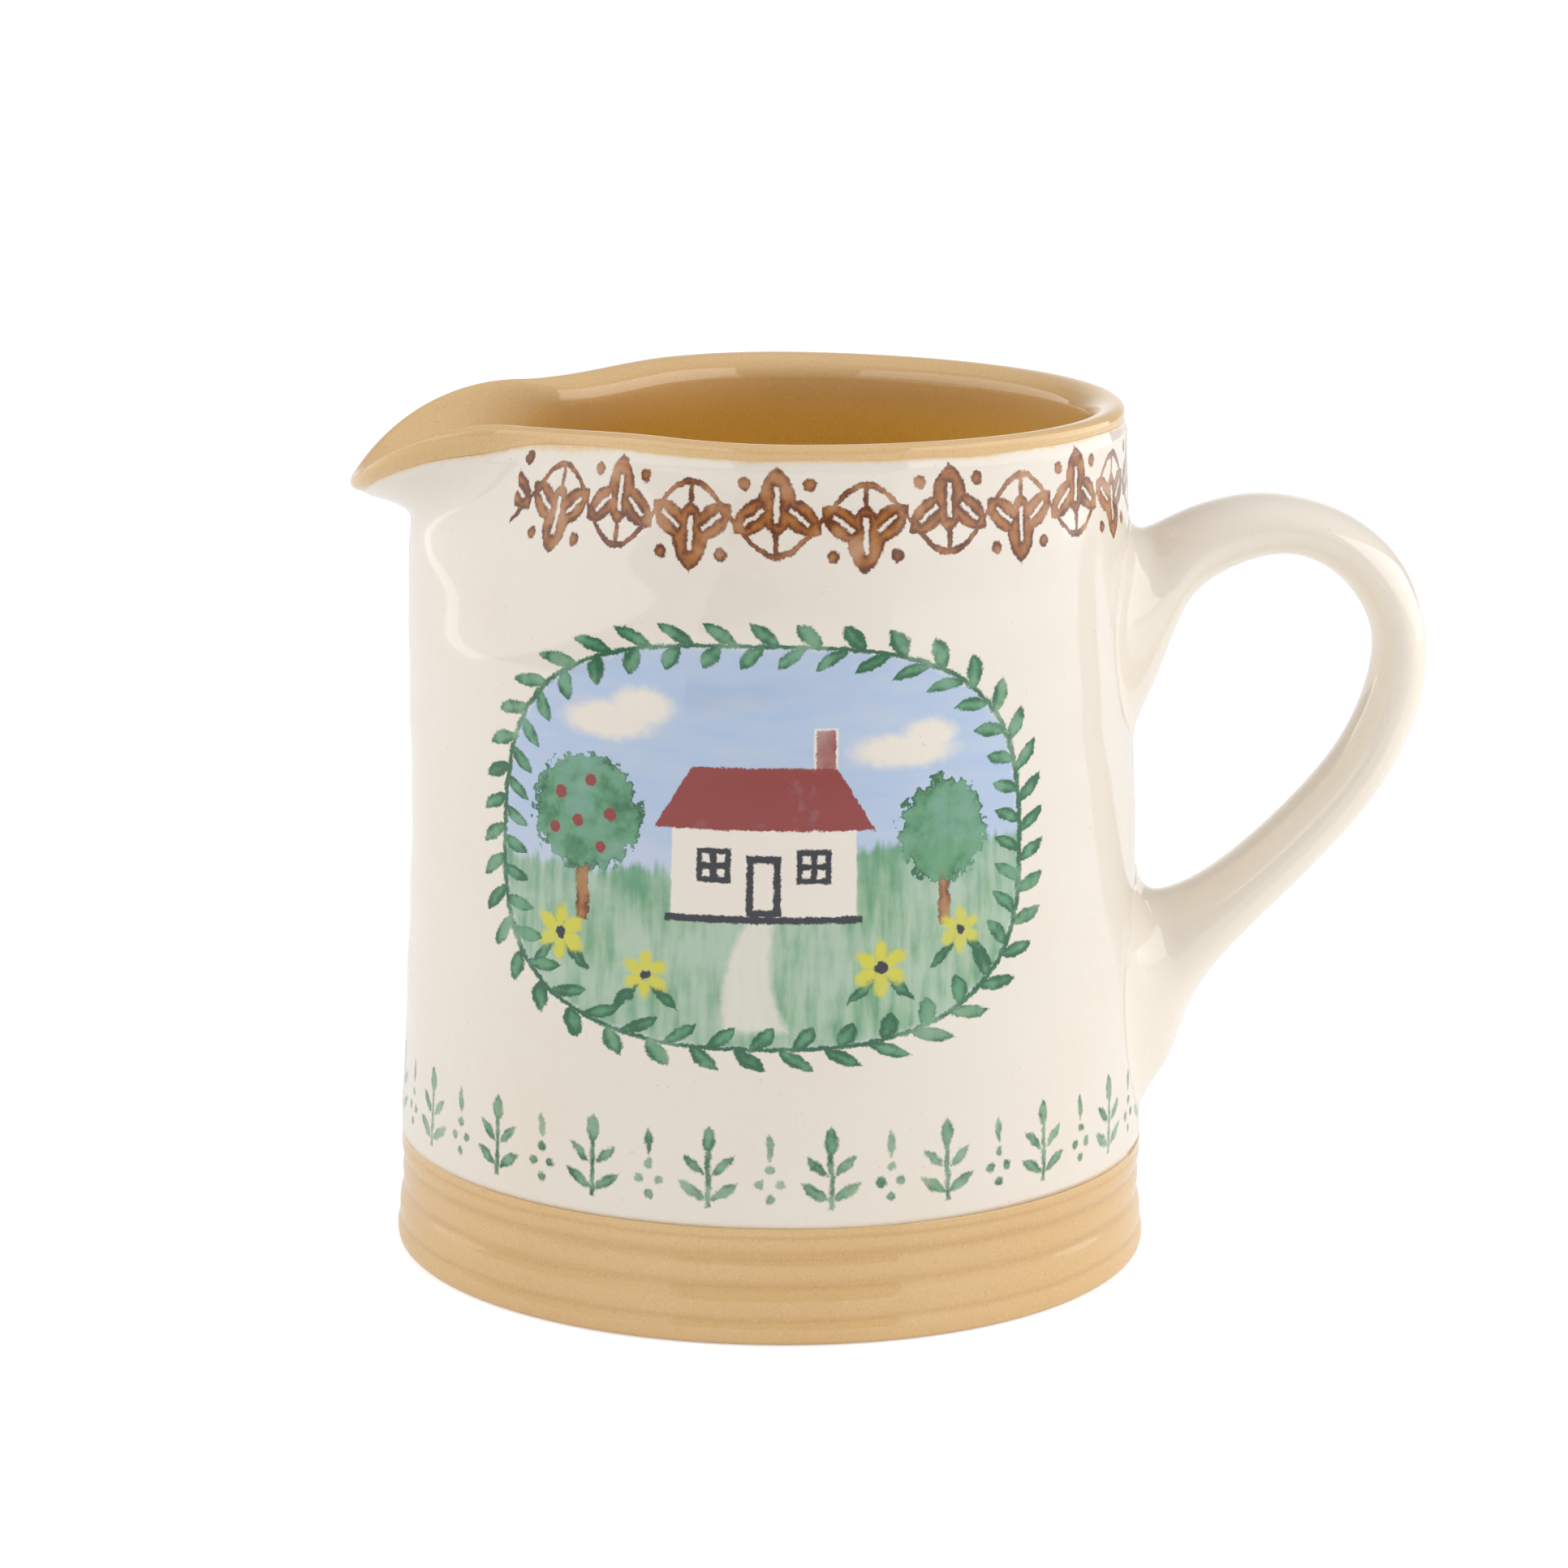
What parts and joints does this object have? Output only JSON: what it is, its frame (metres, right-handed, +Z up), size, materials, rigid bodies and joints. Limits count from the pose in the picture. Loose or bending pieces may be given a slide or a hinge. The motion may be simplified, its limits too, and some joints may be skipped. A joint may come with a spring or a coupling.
{
  "type": "jug",
  "caption": "Hand-thrown slip-coated earthenware jug with a reeded foot, pinched rim, pulled pouring lip and a strap handle opposite the lip.",
  "frame": {"origin": "centre of the foot ring, on the plane that the jug stands on", "axes": "+Z up, +X towards the handle and -X towards the pouring lip, +Y to the right-hand side seen from the lip"},
  "size_m": [0.16, 0.1128, 0.1277],
  "materials": {
    "clay": "clear glaze over warm tan clay with fine specks",
    "slip": "clear glaze over cream slip with sponged decoration",
    "luting": "fired joining slip, hidden between the handle and the wall"
  },
  "bodies": {
    "root": {"body": "clay", "wall_slip": "slip", "handle": "clay", "handle_slip": "slip", "upper_luting": "luting", "lower_luting": "luting"}
  },
  "joints": []
}
